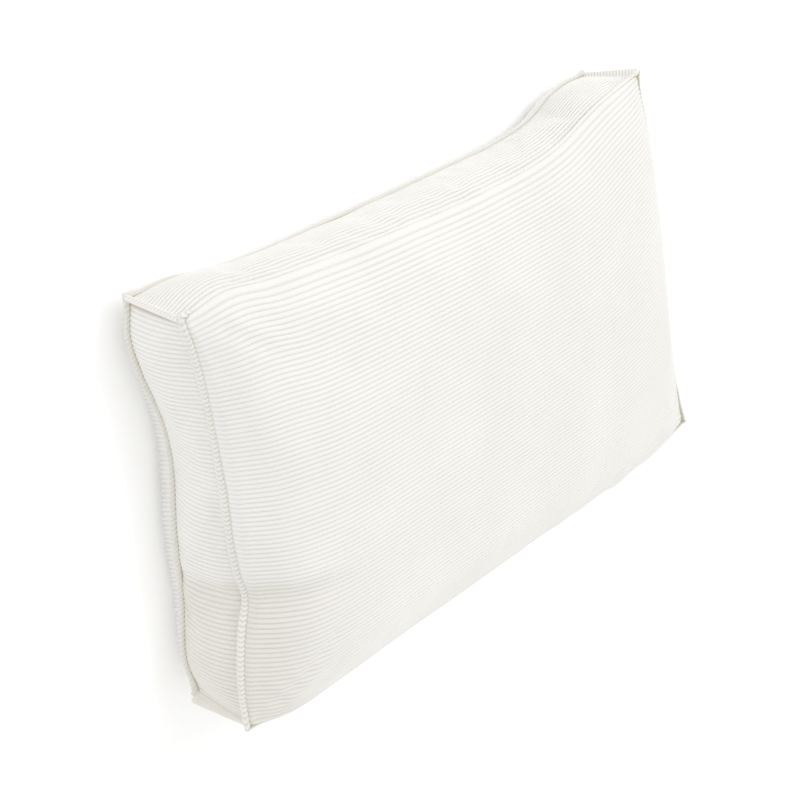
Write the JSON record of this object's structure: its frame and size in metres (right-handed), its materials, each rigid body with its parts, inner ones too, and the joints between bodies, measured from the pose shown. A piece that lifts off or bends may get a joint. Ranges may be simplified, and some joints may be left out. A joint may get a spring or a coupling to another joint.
{
  "type": "backrest pillow",
  "caption": "Filled box cushion for a backrest, in wide-wale corduroy, with pinched seams round both faces and across the gusset.",
  "frame": {"origin": "on the resting plane, under the middle of the whole pillow", "axes": "+X along the long side, +Y up the short side as the pillow stands in use, +Z out of the front face; the pillow lies on its back"},
  "size_m": [0.882, 0.53, 0.1779],
  "materials": {
    "corduroy": "matt cut pile in wide wales",
    "seam_corduroy": "matt cut pile, doubled and stitched"
  },
  "bodies": {
    "root": {"cushion": "corduroy", "front_seam": "seam_corduroy", "back_seam": "seam_corduroy", "left_top_seam": "seam_corduroy", "left_bottom_seam": "seam_corduroy", "right_top_seam": "seam_corduroy", "right_bottom_seam": "seam_corduroy"}
  },
  "joints": []
}
